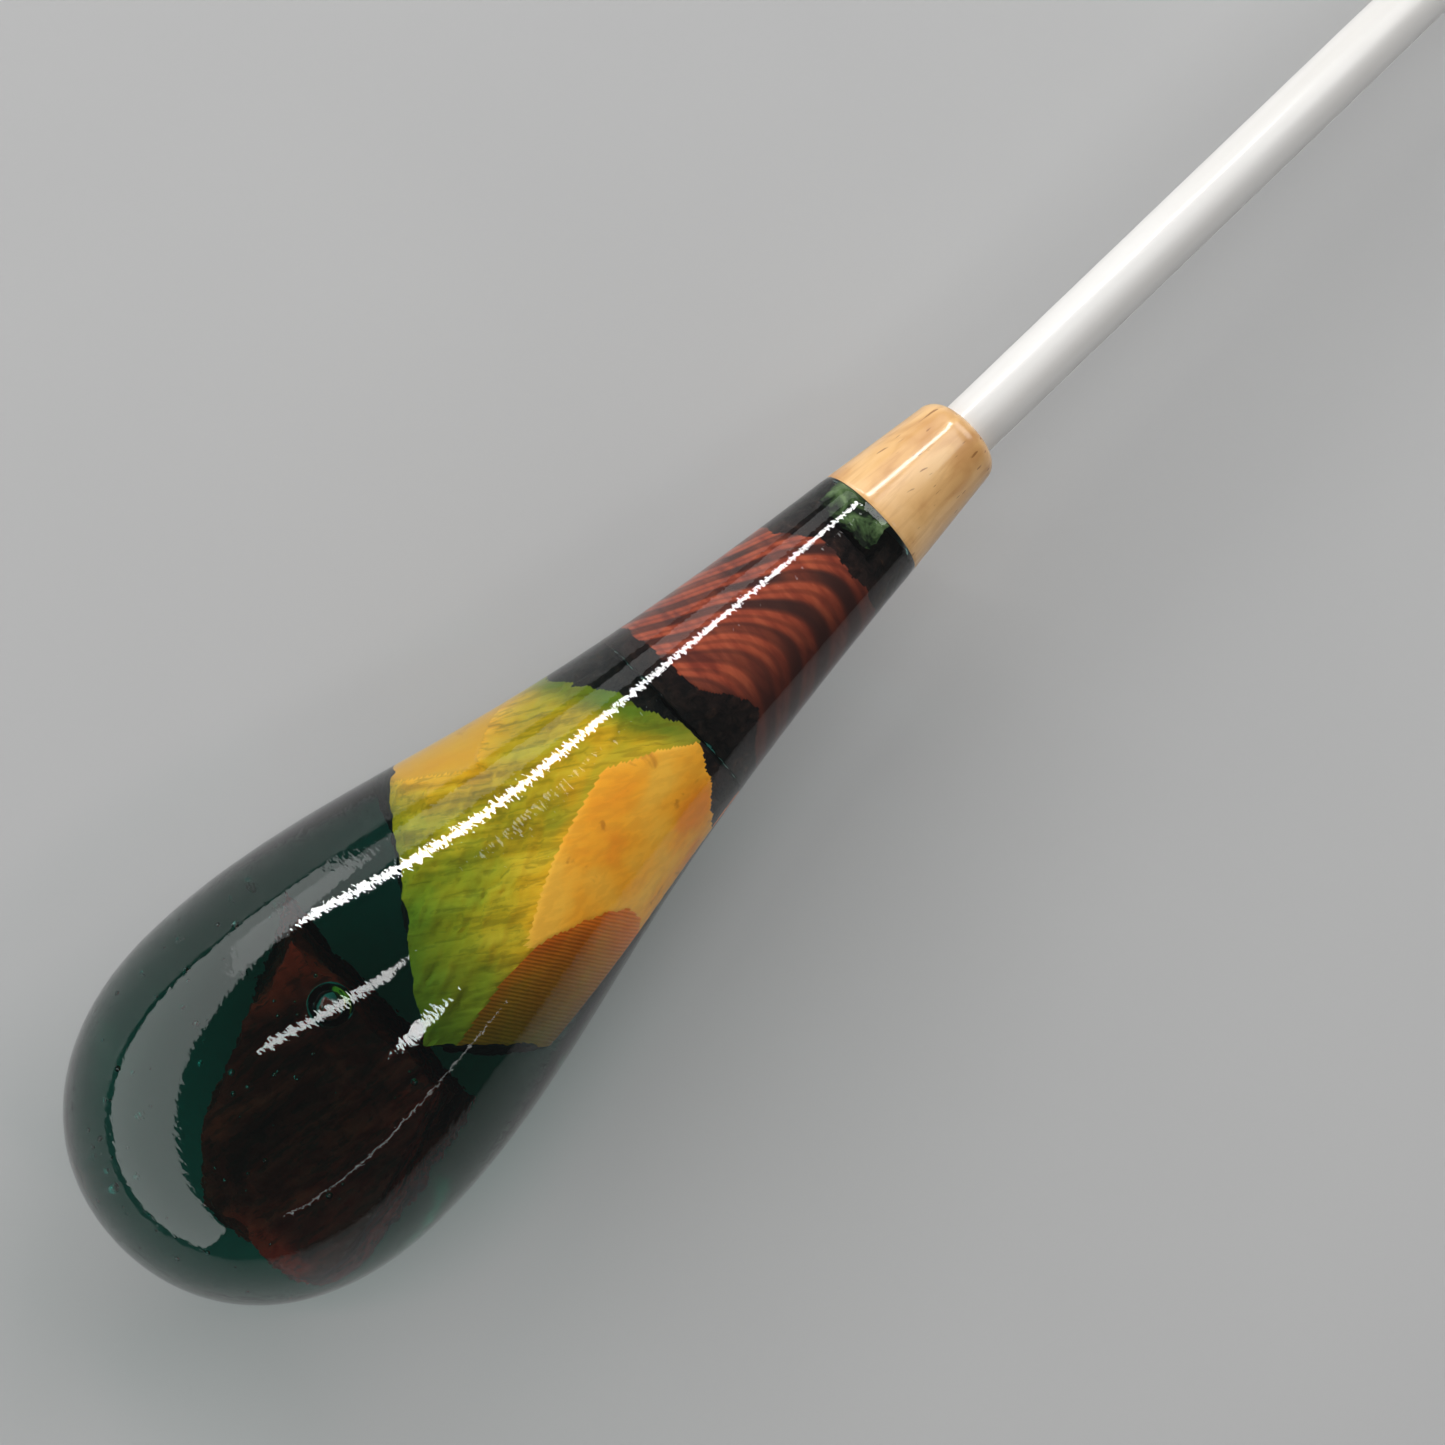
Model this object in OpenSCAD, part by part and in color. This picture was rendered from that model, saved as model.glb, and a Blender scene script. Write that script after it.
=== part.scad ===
// Hand-turned baton: a white tapered shaft glued into a handle of wood offcuts cast in clear
// green resin, with a light wood ferrule at the neck.
// The shaft's axis lies along +X, and the tip points to +X. The origin is on that axis, at the
// ferrule's front face, where the shaft comes out.

/* [Shaft] */
// Whole length from the butt of the handle to the tip
overall_len = 356; // [305:1:406]
// Diameter of the parallel root in front of the ferrule
root_d = 4.2; // [3.9:0.1:4.6]
// Length of the parallel root
root_len = 40; // [20:1:60]
// Diameter where the taper runs into the rounded tip
tip_d = 2.2; // [1.6:0.1:3]
// Diameter of the thinner tenon that is glued into the handle
tenon_d = 3.5; // [3:0.1:3.5]
// Length of the tenon behind the ferrule's front face
tenon_len = 34; // [26:1:36]

/* [Handle] */
// Length of the cast and turned grip, from the butt to the ferrule
grip_len = 68.3; // [68.3:0.1:70]
// Largest diameter of the bulb
bulb_d = 26.8; // [26:0.1:29]
// Distance from the butt to the largest diameter
bulb_at = 15.4; // [14:0.1:17]
// Fullness of the butt, where 2 is an ellipse
butt_power = 2.2; // [2:0.05:2.6]
// Diameter of the flank, half-way between the bulb and the neck
flank_d = 17.6; // [17:0.1:19]
// Distance from the butt to the flank diameter
flank_at = 40; // [38:0.5:42]
// Radius lost per millimetre along the flank
flank_slope = 0.235; // [0.2:0.005:0.26]
// Diameter at the neck, where the ferrule starts
neck_d = 8.7; // [8.4:0.1:9.4]
// Radius lost per millimetre at the neck
neck_slope = 0.11; // [0.08:0.005:0.14]

/* [Ferrule] */
// Length of the light wood ferrule
ferrule_len = 9.3; // [8:0.1:11]
// Diameter of the ferrule at its front, before the edge is rounded
ferrule_front_d = 6.7; // [6.4:0.1:7.2]
// Radius of the rounded front edge
ferrule_edge_r = 1.3; // [0.6:0.1:1.4]
// Diameter of the bore that the tenon is glued into
bore_d = 3.8; // [3.7:0.1:3.8]

/* [Wood blocks] */
// Least cover of resin over the blocks in the bulb and the flank
cover = 0.4; // [0.3:0.1:0.8]
// Where the dark block starts, from the butt
dark_start = 7.8; // [7:0.1:9]
// Where the dark block ends, from the butt
dark_end = 22; // [21:0.1:22.5]
// Height of the dark block's upper face over the axis
dark_top = 6.5; // [6:0.1:7]
// Height of the dark block's underside, below the axis
dark_under = 4; // [3.5:0.1:5]
// Where the green and orange burl block's blunt point is, from the butt
burl_start = 23.5; // [23.2:0.1:25]
// Where the green and orange burl block ends, from the butt
burl_end = 49.1; // [48:0.1:49.2]
// Height of the burl block's sawn underside, below the axis
burl_under = 4; // [3.4:0.1:5]
// Where the rosewood block starts, from the butt
rosewood_start = 50.6; // [50.4:0.1:51.5]
// Where the rosewood block ends and its bark starts, from the butt
rosewood_end = 64; // [62:0.1:64]
// Height of the rosewood block's sawn underside, below the axis
rosewood_under = 3.2; // [2.9:0.1:3.4]
// Length of the dark bark that tapers away under the resin, in front of the rosewood
bark_len = 3.5; // [2.5:0.1:3.5]
// Length of the mossy chip under the ferrule, along the axis
chip_len = 2.1; // [1.5:0.1:2.1]
// Width of the chip, across the axis
chip_width = 4.6; // [3:0.1:5]
// Depth of the chip, below the surface of the neck
chip_depth = 1; // [0.6:0.1:1]
// Turn of the chip around the axis, away from the top
chip_turn = 18; // [0:1:40]

/* [Hidden] */

white = [0.96, 0.95, 0.93];
dark_glue = [0.06, 0.07, 0.06];
maple = [0.86, 0.7, 0.46];
emerald = [0, 0.4, 0.3, 0.45];
red_brown = [0.22, 0.08, 0.05];
green_gold = [0.62, 0.58, 0.16];
rosewood = [0.42, 0.2, 0.13];
moss = [0.3, 0.38, 0.2];

round_fn = 96;
butt_steps = 14;
flank_steps = 12;
edge_steps = 6;
tip_steps = 6;
glue_floor = 0.5;
tenon_chamfer = 0.4;
block_size = 80;
bark_slope = 0.75;
dark_tilt = 20;
dark_band = [-13, -2.25];

butt_x = -grip_len - ferrule_len;
tip_x = overall_len + butt_x;
bulb_r = bulb_d / 2;
flank_r = flank_d / 2;
neck_r = neck_d / 2;
root_r = root_d / 2;
tip_r = tip_d / 2;
tenon_r = tenon_d / 2;
bore_r = bore_d / 2;
bore_depth = tenon_len + glue_floor;

// Each sawn face is a point on it and its outward normal, measured from the butt
burl_faces = [
    [[burl_start, -4, 0], [-0.8, 0.6, 0.1]],
    [[burl_start, -4, 0], [-0.68, -0.73, 0]],
    [[burl_end, -1, 0], [0.9, 0.43, 0]],
    [[burl_end, -3, 0], [0.82, -0.57, 0]],
    [[flank_at - 3, 0, flank_r + 0.9], [0.23, 0.62, 0.75]],
    [[flank_at, -6.3, 6.2], [0.12, -0.85, 0.5]],
    [[flank_at, 0, -burl_under], [0, 0, -1]],
    [[flank_at, -burl_under, -burl_under / 2], [0, -1, -1]]
];
dark_corner = [[bulb_at, -6, -2], [0, -1, -1]];
rosewood_faces = [
    [[rosewood_start, 0, 0], [-1, 0, 0.15]],
    [[rosewood_start, 0, -rosewood_under], [0, 0, -1]]
];

// Smooth curve between two radii whose slopes are known at both ends
function blend(x, x0, r0, s0, x1, r1, s1) =
    let (w = x1 - x0, t = (x - x0) / w)
    r0 * (2 * pow(t, 3) - 3 * pow(t, 2) + 1)
    + s0 * w * (pow(t, 3) - 2 * pow(t, 2) + t)
    + r1 * (3 * pow(t, 2) - 2 * pow(t, 3))
    + s1 * w * (pow(t, 3) - pow(t, 2));

// Radius of the grip in front of the bulb
function grip_r(x) = x < flank_at
    ? blend(x, bulb_at, bulb_r, 0, flank_at, flank_r, -flank_slope)
    : blend(x, flank_at, flank_r, -flank_slope, grip_len, neck_r, -neck_slope);

// Half section of the grip from the butt to the neck as [radius, distance], under a cover
function grip_section(under) = concat(
    [for (i = [0:butt_steps])
        let (a = 90 * i / butt_steps)
        [
            (bulb_r - under) * pow(sin(a), 2 / butt_power),
            bulb_at - (bulb_at - under) * pow(cos(a), 2 / butt_power)
        ]],
    [for (i = [1:flank_steps])
        let (x = bulb_at + (flank_at - bulb_at) * i / flank_steps)
        [grip_r(x) - under, x]],
    [for (i = [1:flank_steps])
        let (x = flank_at + (grip_len - flank_at) * i / flank_steps)
        [grip_r(x) - under, x]],
    [[0, grip_len]]
);

// Solid of revolution about +X from a half section of [radius, distance] points
module turned(section) {
    rotate([0, 90, 0])
        rotate_extrude($fn = round_fn)
            polygon(section);
}

module from_butt() {
    translate([butt_x, 0, 0])
        children();
}

// Everything behind one sawn face
module behind(face) {
    across = face[1];
    translate(face[0])
        rotate([0, acos(across.z / norm(across)), atan2(across.y, across.x)])
            translate([-block_size / 2, -block_size / 2, -block_size])
                cube(block_size);
}

// The rosewood's front is a blunt cone of bark, so that it stays under the resin
module tapered_front() {
    bark_x = rosewood_end + bark_len;
    front_r = grip_r(rosewood_end);
    turned([
        [0, flank_at],
        [front_r + bark_slope * (rosewood_end - flank_at), flank_at],
        [front_r - bark_slope * bark_len, bark_x],
        [0, bark_x]
    ]);
}

module sawn_rosewood() {
    intersection() {
        tapered_front();
        behind(rosewood_faces[0]);
        behind(rosewood_faces[1]);
    }
}

module sawn_burl() {
    intersection() {
        turned(grip_section(cover));
        behind(burl_faces[0]);
        behind(burl_faces[1]);
        behind(burl_faces[2]);
        behind(burl_faces[3]);
        behind(burl_faces[4]);
        behind(burl_faces[5]);
        behind(burl_faces[6]);
        behind(burl_faces[7]);
    }
}

module sawn_dark_burl() {
    intersection() {
        turned(grip_section(cover));
        translate([dark_start, -bulb_r, -dark_under])
            cube([dark_end - dark_start, bulb_d, dark_top + dark_under]);
        rotate([0, 0, dark_tilt])
            translate([0, dark_band[0], -bulb_r])
                cube([grip_len, dark_band[1] - dark_band[0], bulb_d]);
        behind(dark_corner);
    }
}

module sawn_chip() {
    rotate([-chip_turn, 0, 0])
        translate([grip_len - chip_len, -chip_width / 2, neck_r - chip_depth])
            cube([chip_len, chip_width, 2 * chip_depth]);
}

module bore() {
    translate([-bore_depth, 0, 0])
        rotate([0, 90, 0])
            cylinder(h = bore_depth + 1, r = bore_r, $fn = round_fn);
}

module shaft() {
    color(white)
        turned(concat(
            [
                [0, -tenon_len],
                [tenon_r - tenon_chamfer, -tenon_len],
                [tenon_r, tenon_chamfer - tenon_len],
                [tenon_r, 0],
                [root_r, 0],
                [root_r, root_len]
            ],
            [for (i = [0:tip_steps])
                let (a = 90 * i / tip_steps)
                [tip_r * cos(a), tip_x - tip_r + tip_r * sin(a)]]
        ));
}

module shaft_glue() {
    color(dark_glue)
        difference() {
            turned([
                [0, -bore_depth],
                [bore_r, -bore_depth],
                [bore_r, 0],
                [0, 0]
            ]);
            turned([
                [0, -tenon_len],
                [tenon_r - tenon_chamfer, -tenon_len],
                [tenon_r, tenon_chamfer - tenon_len],
                [tenon_r, 1],
                [0, 1]
            ]);
        }
}

module ferrule() {
    front_r = ferrule_front_d / 2;
    color(maple)
        difference() {
            turned(concat(
                [[0, -ferrule_len], [neck_r, -ferrule_len]],
                [for (i = [0:edge_steps])
                    let (a = 90 * i / edge_steps)
                    [
                        front_r - ferrule_edge_r * (1 - cos(a)),
                        -ferrule_edge_r * (1 - sin(a))
                    ]],
                [[0, 0]]
            ));
            bore();
        }
}

module resin_casting() {
    color(emerald)
        difference() {
            from_butt()
                difference() {
                    turned(grip_section(0));
                    sawn_dark_burl();
                    sawn_burl();
                    sawn_rosewood();
                    sawn_chip();
                }
            bore();
        }
}

module dark_burl_block() {
    color(red_brown)
        from_butt()
            sawn_dark_burl();
}

module green_burl_block() {
    color(green_gold)
        difference() {
            from_butt()
                sawn_burl();
            bore();
        }
}

module rosewood_block() {
    color(rosewood)
        difference() {
            from_butt()
                intersection() {
                    turned(grip_section(0));
                    sawn_rosewood();
                }
            bore();
        }
}

module neck_chip() {
    color(moss)
        from_butt()
            intersection() {
                turned(grip_section(0));
                sawn_chip();
            }
}

shaft();
shaft_glue();
ferrule();
resin_casting();
dark_burl_block();
green_burl_block();
rosewood_block();
neck_chip();
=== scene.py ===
"""A hand-turned conductor's baton: wood blocks cast in clear green resin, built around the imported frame."""

import math
import random

import bpy
import bmesh
from mathutils import Matrix, Vector, noise


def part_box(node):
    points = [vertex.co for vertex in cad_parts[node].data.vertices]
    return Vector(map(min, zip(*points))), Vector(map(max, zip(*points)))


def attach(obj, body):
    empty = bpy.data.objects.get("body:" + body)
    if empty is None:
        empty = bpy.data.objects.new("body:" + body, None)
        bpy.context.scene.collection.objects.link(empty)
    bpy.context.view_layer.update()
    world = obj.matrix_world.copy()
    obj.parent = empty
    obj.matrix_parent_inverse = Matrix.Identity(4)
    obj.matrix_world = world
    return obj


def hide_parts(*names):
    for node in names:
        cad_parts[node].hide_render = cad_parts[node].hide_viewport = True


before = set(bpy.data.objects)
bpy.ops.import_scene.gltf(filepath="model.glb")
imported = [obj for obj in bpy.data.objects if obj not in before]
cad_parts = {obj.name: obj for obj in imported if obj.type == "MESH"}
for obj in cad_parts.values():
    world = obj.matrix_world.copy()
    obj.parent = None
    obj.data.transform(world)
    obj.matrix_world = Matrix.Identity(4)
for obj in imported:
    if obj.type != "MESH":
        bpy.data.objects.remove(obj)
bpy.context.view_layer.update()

# Everything is worked out in millimetres from the butt, along the shaft's axis, and MM turns it into metres.
MM = 0.001
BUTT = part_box("resin_casting")[0].x / MM
GRIP_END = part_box("resin_casting")[1].x / MM - BUTT
FERRULE_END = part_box("ferrule")[1].x / MM - BUTT
SHAFT_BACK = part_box("shaft")[0].x / MM - BUTT
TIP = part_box("shaft")[1].x / MM - BUTT
BULB_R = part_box("resin_casting")[1].z / MM
NECK_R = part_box("ferrule")[1].z / MM
ROOT_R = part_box("shaft")[1].z / MM

# The turned outline: where the bulb is thickest, how blunt its butt is, a point on the flank with
# its radius and slope, and the slope at the neck
BULB_AT = 15.4
BUTT_POWER = 2.2
FLANK_AT = 40.0
FLANK_R = 8.8
FLANK_SLOPE = -0.235
NECK_SLOPE = -0.11

# The burl: its ends, the blunt point of its back end, how that end slants away towards -Y and
# towards +Y, how far its broken edge stands past the sawn point, where its bark starts and how that
# slants, and its underside and sawn faces as a point and an outward normal
BURL_SPAN = (23.5, 49.1)
BURL_POINT_Y = -4.0
BURL_BACK_SLOPES = (-1.07, 0.75)
BURL_BACK_PAST = 0.3
BURL_FRONT = 48.3
FRONT_SLANT = 0.48
UNDERSIDE = Vector((0, 0, -1))
BURL_UNDER = (Vector((40, 0, -4)), UNDERSIDE)
BURL_FACET = (Vector((40, -6.75, 6.4)), Vector((-0.03, -0.85, 0.5)))
BURL_CORNER = (Vector((40, -4, -2)), Vector((0, -1, -1)))

# The dark block: its ends, its height, its width as a band that is turned about Z, its lower
# corner, and the line that its mesh is built around, as (y, z)
DARK_SPAN = (7.8, 22.0)
DARK_Z = (-4.0, 6.5)
DARK_BAND = (-13.0, -2.25)
DARK_TILT = math.radians(20)
DARK_CORNER = (Vector((15.4, -6, -2)), Vector((0, -1, -1)))
DARK_LINE = (-5.2, 1.2)

# The rosewood: its ends, its underside, its bark's length and how fast the bark falls away under
# the turned surface
ROSEWOOD_SPAN = (50.6, 64.0)
ROSEWOOD_UNDER = (Vector((40, 0, -3.2)), UNDERSIDE)
BARK_LEN = 3.5
BARK_FALL = 0.28

# The neck's chip: its length, width and depth, and its angle from the top towards +Y
CHIP_SIZE = (2.1, 4.6, 1.0)
CHIP_TURN = math.radians(18)


# ---------------------------------------------------------------- small helpers

def hermite(x, x0, r0, s0, x1, r1, s1):
    """Smooth curve between two radii whose slopes are known at both ends."""
    w = x1 - x0
    t = (x - x0) / w
    return (
        r0 * (2 * t**3 - 3 * t**2 + 1)
        + s0 * w * (t**3 - 2 * t**2 + t)
        + r1 * (3 * t**2 - 2 * t**3)
        + s1 * w * (t**3 - t**2)
    )


def in_frame(point):
    """A point in millimetres from the butt, in the frame's metres."""
    return Vector((point[0] + BUTT, point[1], point[2])) * MM


def grip_r(x):
    """Radius of the turned grip at a distance from the butt."""
    if x < BULB_AT:
        share = max(0.0, min(1.0, 1 - x / BULB_AT))
        return BULB_R * (1 - share**BUTT_POWER) ** (1 / BUTT_POWER)
    if x < FLANK_AT:
        return hermite(x, BULB_AT, BULB_R, 0, FLANK_AT, FLANK_R, FLANK_SLOPE)
    return hermite(min(x, GRIP_END), FLANK_AT, FLANK_R, FLANK_SLOPE, GRIP_END, NECK_R, NECK_SLOPE)


def smooth(a, b, x):
    """0 on a's side, 1 past b and an S-curve between them."""
    t = max(0.0, min(1.0, (x - a) / (b - a)))
    return t * t * (3 - 2 * t)


def along(points, x):
    """Value at x on a line through (x, value) points."""
    if x <= points[0][0]:
        return points[0][1]
    for (x0, v0), (x1, v1) in zip(points, points[1:]):
        if x <= x1:
            return v0 + (v1 - v0) * (x - x0) / (x1 - x0)
    return points[-1][1]


def rough(point, size, depth=3):
    """Fractal noise from about -1 to 1 whose largest lumps are size millimetres across."""
    return noise.fractal(Vector(point) / size, 0.6, 2.1, depth)


# A reach that is longer than anything in the grip
FAR = 1e3


def plane_reach(face, x, start, dy, dz):
    """How far it is from a point to a sawn face, across the axis, or FAR if it isn't ahead."""
    point, normal = face
    ahead = normal.y * dy + normal.z * dz
    if ahead < 1e-4:
        return FAR
    return normal.dot(point - Vector((x, start[0], start[1]))) / ahead


def grip_reach(x, start, dy, dz, cover):
    """How far it is from a point inside the grip to its surface, less a cover, across the axis."""
    r = max(grip_r(x) - cover, 0.01)
    b = start[0] * dy + start[1] * dz
    c = start[0] ** 2 + start[1] ** 2 - r * r
    return -b + math.sqrt(max(b * b - c, 0.0))


# ---------------------------------------------------------------- meshes

# The kinds of surface on a carved block, as indices into its materials, and the mark of a cap's points
TURNED_ZONE, LIVE_ZONE, SAWN_ZONE, END_ZONE = 0, 1, 2, 3
CAP = -1


def piece_from(name, verts, faces, materials, zones=None, crease=None):
    """A mesh piece from points in millimetres from the butt, with a material index for each face."""
    mesh = bpy.data.meshes.new(name)
    mesh.from_pydata([((x + BUTT) * MM, y * MM, z * MM) for x, y, z in verts], [], faces)
    for material in materials:
        mesh.materials.append(material)
    for i, polygon in enumerate(mesh.polygons):
        polygon.use_smooth = True
        if zones:
            polygon.material_index = zones[i]
    if crease:
        sharpen(mesh, crease)
    piece = bpy.data.objects.new(name, mesh)
    bpy.context.scene.collection.objects.link(piece)
    return piece


def sharpen(mesh, degrees):
    """Marks the edges that turn by more than an angle as sharp."""
    form = bmesh.new()
    form.from_mesh(mesh)
    bmesh.ops.recalc_face_normals(form, faces=form.faces)
    for edge in form.edges:
        edge.smooth = edge.calc_face_angle(0) < math.radians(degrees)
    form.to_mesh(mesh)
    form.free()


def turned(name, outline, around, materials, crease=None):
    """A solid of revolution about the axis.

    The outline is (x, radius) points. It starts and ends at radius 0, or ends at its first point.
    """
    verts, rings, faces = [], [], []
    for x, r in outline:
        if rings and (x, r) == outline[0]:
            rings.append(rings[0])
            continue
        if r < 1e-6:
            rings.append([len(verts)] * around)
            verts.append((x, 0, 0))
            continue
        rings.append(range(len(verts), len(verts) + around))
        for i in range(around):
            a = 2 * math.pi * i / around
            verts.append((x, r * math.sin(a), r * math.cos(a)))
    for back, front in zip(rings, rings[1:]):
        for i in range(around):
            j = (i + 1) % around
            corners = dict.fromkeys((back[i], front[i], front[j], back[j]))
            if len(corners) > 2:
                faces.append(tuple(corners))
    return piece_from(name, verts, faces, materials, crease=crease)


def carved(name, line, reach, ends, rows, around, caps, materials, crease=None):
    """A closed solid around a line that runs along X through line's (y, z).

    reach(x, dy, dz) gives the distance from the line to the side in one direction, and the zone of
    the surface there. ends(y, z) gives the back and front ends. rows, around and caps are the
    numbers of faces along the side, around it, and from an end's edge to its middle.
    """
    ways = [(math.sin(2 * math.pi * i / around), math.cos(2 * math.pi * i / around)) for i in range(around)]
    verts, zones_at = [], []

    def side_point(share, dy, dz):
        y, z = line
        for _ in range(4):
            back, front = ends(y, z)
            x = back + (front - back) * share
            r, zone = reach(x, dy, dz)
            y, z = line[0] + r * dy, line[1] + r * dz
        return (x, y, z), zone

    sides = [[side_point(row / rows, dy, dz) for dy, dz in ways] for row in range(rows + 1)]
    rings = []

    def add_cap(edge, end):
        for ring in range(1, caps) if end == 0 else range(caps - 1, 0, -1):
            share = ring / caps
            added = []
            for (x, y, z), _ in edge:
                py, pz = line[0] + (y - line[0]) * share, line[1] + (z - line[1]) * share
                added.append(len(verts))
                verts.append((ends(py, pz)[end], py, pz))
                zones_at.append(CAP)
            rings.append(added)

    def add_pole(end):
        rings.append([len(verts)] * around)
        verts.append((ends(*line)[end], line[0], line[1]))
        zones_at.append(CAP)

    add_pole(0)
    add_cap(sides[0], 0)
    for side in sides:
        rings.append(range(len(verts), len(verts) + around))
        for point, zone in side:
            verts.append(point)
            zones_at.append(zone)
    add_cap(sides[-1], 1)
    add_pole(1)

    faces, zones = [], []
    for back, front in zip(rings, rings[1:]):
        for i in range(around):
            j = (i + 1) % around
            corners = tuple(dict.fromkeys((back[i], front[i], front[j], back[j])))
            if len(corners) < 3:
                continue
            faces.append(corners)
            zone = min(zones_at[c] for c in corners)
            zones.append(END_ZONE if zone == CAP else zone)
    return piece_from(name, verts, faces, materials, zones, crease)


# ---------------------------------------------------------------- materials

class Paint:
    """One material's node tree, with a short call for each kind of node that it uses."""

    def __init__(self, name):
        self.material = bpy.data.materials.new(name)
        self.material.use_nodes = True
        self.tree = self.material.node_tree
        self.tree.nodes.clear()
        self.out = self.tree.nodes.new("ShaderNodeOutputMaterial")

    def node(self, kind, settings=None, **inputs):
        """Adds a node. An input is named with _ for its spaces, and is a value or another node's output."""
        made = self.tree.nodes.new("ShaderNode" + kind)
        for key, value in (settings or {}).items():
            setattr(made, key, value)
        for key, value in inputs.items():
            self.feed(made.inputs[key.replace("_", " ")], value)
        return made

    def feed(self, socket, value):
        """Links another node's output to an input, or sets the input's value."""
        if isinstance(value, bpy.types.NodeSocket):
            self.tree.links.new(value, socket)
        elif isinstance(value, tuple) and len(value) == 3 and socket.type == "RGBA":
            socket.default_value = (*value, 1)
        else:
            socket.default_value = value

    def place(self, scale=(1, 1, 1), turn=(0, 0, 0)):
        """Object coordinates in millimetres, stretched and turned (in degrees)."""
        spot = self.node("TexCoord").outputs["Object"]
        size = Vector(scale) / MM
        turn = tuple(math.radians(a) for a in turn)
        turned_spot = self.node("Mapping", Vector=spot, Rotation=turn).outputs[0]
        return self.node("Mapping", Vector=turned_spot, Scale=size).outputs[0]

    def spot(self):
        """Object coordinates in millimetres, as a node with the outputs X, Y and Z."""
        return self.node("SeparateXYZ", Vector=self.place())

    def noise(self, spot, detail=4.0, roughness=0.55, distortion=0.0):
        """Fractal noise from 0 to 1, whose lumps are about one unit of spot across."""
        return self.node(
            "TexNoise", Vector=spot, Scale=1.0, Detail=detail, Roughness=roughness, Distortion=distortion
        ).outputs["Fac"]

    def ramp(self, share, stops):
        """Colours between stops of (share, (r, g, b))."""
        made = self.node("ValToRGB", Fac=share)
        elements = made.color_ramp.elements
        while len(elements) < len(stops):
            elements.new(0.5)
        for element, (at, colour) in zip(elements, stops):
            element.position = at
            element.color = (*colour, 1)
        return made.outputs[0]

    def fade(self, share, low, high, start=0.0, end=1.0):
        """start where share is below low, end where it is above high."""
        made = self.node("MapRange", Value=share)
        made.interpolation_type = "SMOOTHSTEP"
        for key, value in zip(("From Min", "From Max", "To Min", "To Max"), (low, high, start, end)):
            made.inputs[key].default_value = value
        return made.outputs[0]

    def math(self, operation, a, b=0.0):
        """One calculation with one or two numbers, which are values or outputs."""
        made = self.tree.nodes.new("ShaderNodeMath")
        made.operation = operation
        self.feed(made.inputs[0], a)
        self.feed(made.inputs[1], b)
        return made.outputs[0]

    def blend(self, share, a, b):
        """Colour a where share is 0, colour b where it is 1."""
        made = self.tree.nodes.new("ShaderNodeMix")
        made.data_type = "RGBA"
        self.feed(made.inputs[0], share)
        self.feed(made.inputs[6], a)
        self.feed(made.inputs[7], b)
        return made.outputs[2]

    def bump(self, height, distance_mm):
        """A normal for relief of a depth in millimetres."""
        return self.node("Bump", Height=height, Distance=distance_mm * MM, Strength=1.0).outputs[0]

    def surface(self, **inputs):
        """Finishes the material with a Principled shader and returns the material."""
        shader = self.node("BsdfPrincipled", **inputs)
        self.tree.links.new(shader.outputs[0], self.out.inputs["Surface"])
        return self.material


def resin_material():
    """Clear emerald casting resin, turned and polished, with faint marks left by the polishing cloth.

    Shadows and bounced light pass straight through it, and the depth of resin colours them.
    """
    p = Paint("clear_green_resin")
    rings = p.noise(p.place((3.2, 1.6, 1.6)), 1.0)
    cloth = p.noise(p.place((0.5, 0.5, 0.5)), 2.0)
    height = p.math("ADD", p.math("MULTIPLY", rings, 0.8), p.math("MULTIPLY", cloth, 0.5))
    glass = p.node(
        "BsdfPrincipled",
        Base_Color=(1.0, 1.0, 1.0),
        Roughness=0.015,
        IOR=1.52,
        Transmission_Weight=1.0,
        Normal=p.bump(height, 0.012),
    )
    path = p.node("LightPath")
    passing = p.math("MAXIMUM", path.outputs["Is Shadow Ray"], path.outputs["Is Diffuse Ray"])
    clear = p.node("BsdfTransparent", Color=(0.9, 0.9, 0.9))
    mixed = p.tree.nodes.new("ShaderNodeMixShader")
    p.tree.links.new(passing, mixed.inputs[0])
    p.tree.links.new(glass.outputs[0], mixed.inputs[1])
    p.tree.links.new(clear.outputs[0], mixed.inputs[2])
    p.tree.links.new(mixed.outputs[0], p.out.inputs["Surface"])
    tint = p.node("VolumeAbsorption", Color=(0.0, 0.63, 0.57), Density=225.0)
    p.tree.links.new(tint.outputs[0], p.out.inputs["Volume"])
    return p.material


def burl_turned_material():
    """Orange burl where the lathe cut it smooth, with cloudy figure and small brown eyes, turning a darker
    yellow towards +Y that is partly painted shade.
    """
    p = Paint("orange_burl")
    cloud = p.noise(p.place((0.12, 0.2, 0.2), (0, 0, 25)), 3.0, 0.5, 0.8)
    grain = p.noise(p.place((0.25, 2.0, 2.0), (0, 0, 22)), 3.0, 0.5, 0.3)
    eyes = p.noise(p.place((0.55, 0.55, 0.55)), 3.0, 0.5, 0.6)
    oranges = [(0.32, (0.92, 0.27, 0.012)), (0.48, (1.0, 0.4, 0.022)), (0.66, (1.0, 0.5, 0.05))]
    base = p.ramp(cloud, oranges)
    lined = p.blend(p.fade(grain, 0.4, 0.6, 0.16, 0.0), base, (0.5, 0.16, 0.01))
    spotted = p.blend(p.fade(eyes, 0.62, 0.74, 0.0, 0.6), lined, (0.42, 0.11, 0.008))
    # Towards +Y the colour turns a darker yellow. This is partly the burl's own yellower colour and partly
    # painted shade that offsets the window's reflection there.
    far_side = p.spot().outputs["Y"]
    yellower_with_painted_shade = p.blend(p.fade(far_side, 0.5, 4.5, 0.0, 0.75), spotted, (0.48, 0.27, 0.005))
    return p.surface(
        Base_Color=yellower_with_painted_shade,
        Roughness=p.fade(grain, 0.3, 0.7, 0.42, 0.56),
        Specular_IOR_Level=0.12,
        Normal=p.bump(grain, 0.03),
    )


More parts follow.
